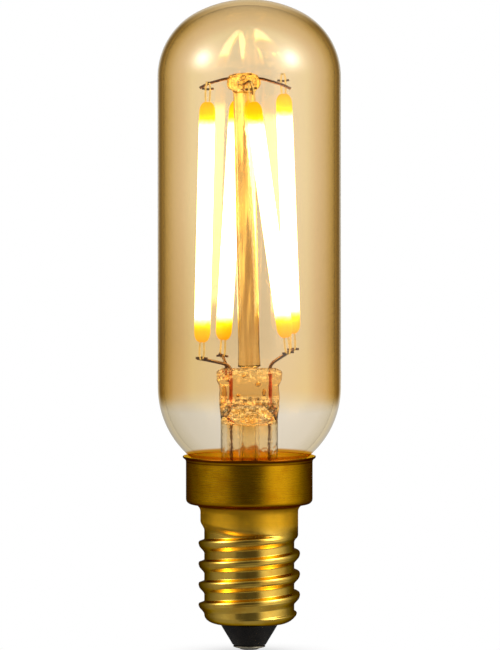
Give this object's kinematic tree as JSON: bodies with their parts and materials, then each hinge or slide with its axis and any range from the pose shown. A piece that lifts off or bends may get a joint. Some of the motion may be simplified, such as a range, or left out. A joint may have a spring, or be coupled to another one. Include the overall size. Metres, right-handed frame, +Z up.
{
  "type": "tubular light bulb",
  "caption": "Tubular glass lamp with a rounded top, upright glowing filament bars on a glass stem, and a screw cap with a flared collar.",
  "frame": {"origin": "lowest point of the solder on the cap's centre contact, on the lamp's axis", "axes": "+Z up the lamp's axis from the contact to the rounded top, front of the picture towards -Y"},
  "size_m": [0.025, 0.025, 0.089],
  "materials": {
    "amber_glass": "clear blown glass with a thin amber metal coating, gloss",
    "clear_glass": "clear drawn glass, gloss",
    "phosphor": "matt yellow phosphor silicone, glowing",
    "plated_steel": "thin plated strip, satin",
    "support_wire": "nickel-iron wire, satin",
    "lead_wire": "nickel-iron lead wire, satin",
    "brass": "drawn brass, polished",
    "cement": "baked capping cement, matt",
    "black_glass": "black moulded glass, gloss",
    "contact_metal": "pressed plate, satin",
    "solder": "tin solder, gloss",
    "board": "glass-fibre laminate, satin",
    "chip_black": "moulded epoxy, matt",
    "can": "sleeved aluminium can, satin",
    "resistor_coat": "lacquered ceramic, gloss",
    "hook_up_wire": "tinned wire, satin"
  },
  "bodies": {
    "root": {"glass_envelope": "amber_glass", "glass_stem": "clear_glass", "exhaust_tube": "clear_glass", "centre_rod": "clear_glass", "filament_1": "phosphor", "filament_1_top_strip": "plated_steel", "filament_1_foot_strip": "plated_steel", "filament_2": "phosphor", "filament_2_top_strip": "plated_steel", "filament_2_foot_strip": "plated_steel", "filament_3": "phosphor", "filament_3_top_strip": "plated_steel", "filament_3_foot_strip": "plated_steel", "filament_4": "phosphor", "filament_4_top_strip": "plated_steel", "filament_4_foot_strip": "plated_steel", "left_right_wire": "support_wire", "front_back_wire": "support_wire", "left_lead_wire": "lead_wire", "left_branch_wire": "lead_wire", "right_lead_wire": "lead_wire", "cap_shell": "brass", "capping_cement": "cement", "cap_insulator": "black_glass", "centre_contact": "contact_metal", "contact_solder": "solder", "driver_board": "board", "bridge_rectifier": "chip_black", "driver_chip": "chip_black", "smoothing_capacitor": "can", "fuse_resistor": "resistor_coat", "live_wire": "hook_up_wire", "neutral_wire": "hook_up_wire"}
  },
  "joints": []
}
